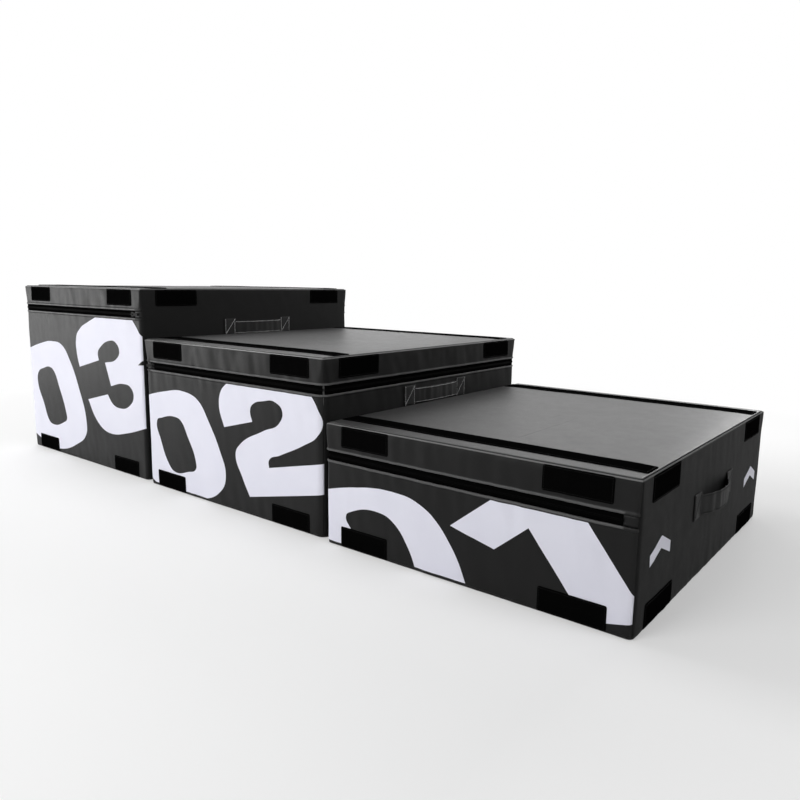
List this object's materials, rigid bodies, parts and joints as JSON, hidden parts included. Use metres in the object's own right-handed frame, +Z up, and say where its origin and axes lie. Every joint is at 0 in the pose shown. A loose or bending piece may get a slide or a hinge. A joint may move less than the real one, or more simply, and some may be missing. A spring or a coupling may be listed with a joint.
{
  "type": "soft plyo box set",
  "caption": "Soft foam plyo boxes in black zipped vinyl covers, rising in height, with strap handles, hook-and-loop strips and patches, for jump training.",
  "frame": {"origin": "middle of the set's footprint, on the floor", "axes": "+X along the row from the tall box to the low box, +Y from the numbered fronts to the backs, +Z up"},
  "size_m": [2.371, 0.936, 0.602],
  "materials": {
    "cover_vinyl": "semi-matt black PVC-coated fabric with a fine grain",
    "base_vinyl": "matt black PVC-coated base fabric",
    "foam": "closed-cell grey foam with cut faces",
    "loop_tape": "deep black hook-and-loop tape",
    "webbing": "black folded vinyl strap with pale stitching",
    "zip_tape": "black woven tape with a nylon coil",
    "zip_metal": "nickel-plated die-cast metal",
    "print_white": "cool white screen print"
  },
  "bodies": {
    "box_01": {"box_01_foam_core": "foam", "box_01_base_panel": "base_vinyl", "box_01_base_strips": "loop_tape", "box_01_front_panel": "cover_vinyl", "box_01_back_panel": "cover_vinyl", "box_01_left_panel": "cover_vinyl", "box_01_right_panel": "cover_vinyl", "box_01_zip_tape_lower": "zip_tape", "box_01_body_patches": "loop_tape", "box_01_left_handle": "webbing", "box_01_right_handle": "webbing"},
    "lid_01": {"box_01_top_panel": "cover_vinyl", "box_01_front_band": "cover_vinyl", "box_01_back_band": "cover_vinyl", "box_01_left_band": "cover_vinyl", "box_01_zip_tape_upper": "zip_tape", "box_01_top_strips": "loop_tape", "box_01_lid_patches": "loop_tape"},
    "slider_01": {"box_01_zip_slider": "zip_metal"},
    "pull_01": {"box_01_zip_pull": "zip_metal"},
    "box_02": {"box_02_foam_core": "foam", "box_02_base_panel": "base_vinyl", "box_02_base_strips": "loop_tape", "box_02_front_panel": "cover_vinyl", "box_02_back_panel": "cover_vinyl", "box_02_left_panel": "cover_vinyl", "box_02_right_panel": "cover_vinyl", "box_02_zip_tape_lower": "zip_tape", "box_02_body_patches": "loop_tape", "box_02_left_handle": "webbing", "box_02_right_handle": "webbing"},
    "lid_02": {"box_02_top_panel": "cover_vinyl", "box_02_front_band": "cover_vinyl", "box_02_back_band": "cover_vinyl", "box_02_right_band": "cover_vinyl", "box_02_zip_tape_upper": "zip_tape", "box_02_top_strips": "loop_tape", "box_02_lid_patches": "loop_tape"},
    "slider_02": {"box_02_zip_slider": "zip_metal"},
    "pull_02": {"box_02_zip_pull": "zip_metal"},
    "box_03": {"box_03_foam_core": "foam", "box_03_base_panel": "base_vinyl", "box_03_base_strips": "loop_tape", "box_03_front_panel": "cover_vinyl", "box_03_back_panel": "cover_vinyl", "box_03_left_panel": "cover_vinyl", "box_03_right_panel": "cover_vinyl", "box_03_zip_tape_lower": "zip_tape", "box_03_body_patches": "loop_tape", "box_03_left_handle": "webbing", "box_03_right_handle": "webbing"},
    "lid_03": {"box_03_top_panel": "cover_vinyl", "box_03_front_band": "cover_vinyl", "box_03_back_band": "cover_vinyl", "box_03_left_band": "cover_vinyl", "box_03_zip_tape_upper": "zip_tape", "box_03_top_strips": "loop_tape", "box_03_lid_patches": "loop_tape"},
    "slider_03": {"box_03_zip_slider": "zip_metal"},
    "pull_03": {"box_03_zip_pull": "zip_metal"}
  },
  "joints": [
    {"name": "lid_01_open", "type": "hinge", "parent": "box_01", "child": "lid_01", "pos_m": [1.161, -0.009, 0.297], "axis": [0, 1, 0], "range_deg": [0, 120]},
    {"name": "slider_01_run", "type": "slide", "parent": "box_01", "child": "slider_01", "axis": [-1, 0, 0], "range_m": [0, 0.66]},
    {"name": "pull_01_swing", "type": "hinge", "parent": "slider_01", "child": "pull_01", "pos_m": [1.117, 0.4514, 0.221], "axis": [0, 0, 1], "range_deg": [0, 170]},
    {"name": "lid_02_open", "type": "hinge", "parent": "box_02", "child": "lid_02", "pos_m": [-0.377, 0.001, 0.447], "axis": [0, -1, 0], "range_deg": [0, 90]},
    {"name": "slider_02_run", "type": "slide", "parent": "box_02", "child": "slider_02", "axis": [1, 0, 0], "range_m": [0, 0.66]},
    {"name": "pull_02_swing", "type": "hinge", "parent": "slider_02", "child": "pull_02", "pos_m": [-0.333, -0.4594, 0.371], "axis": [0, 0, 1], "range_deg": [0, 170]},
    {"name": "box_02_lift", "type": "slide", "parent": "box_01", "child": "box_02", "axis": [0, 0, 1], "range_m": [0, 0.65]},
    {"name": "lid_03_open", "type": "hinge", "parent": "box_03", "child": "lid_03", "pos_m": [-0.401, 0.009, 0.597], "axis": [0, 1, 0], "range_deg": [0, 90]},
    {"name": "slider_03_run", "type": "slide", "parent": "box_03", "child": "slider_03", "axis": [-1, 0, 0], "range_m": [0, 0.66]},
    {"name": "pull_03_swing", "type": "hinge", "parent": "slider_03", "child": "pull_03", "pos_m": [-0.445, -0.4514, 0.521], "axis": [0, 0, -1], "range_deg": [0, 170]},
    {"name": "box_03_lift", "type": "slide", "parent": "box_01", "child": "box_03", "axis": [0, 0, 1], "range_m": [0, 0.65]}
  ]
}
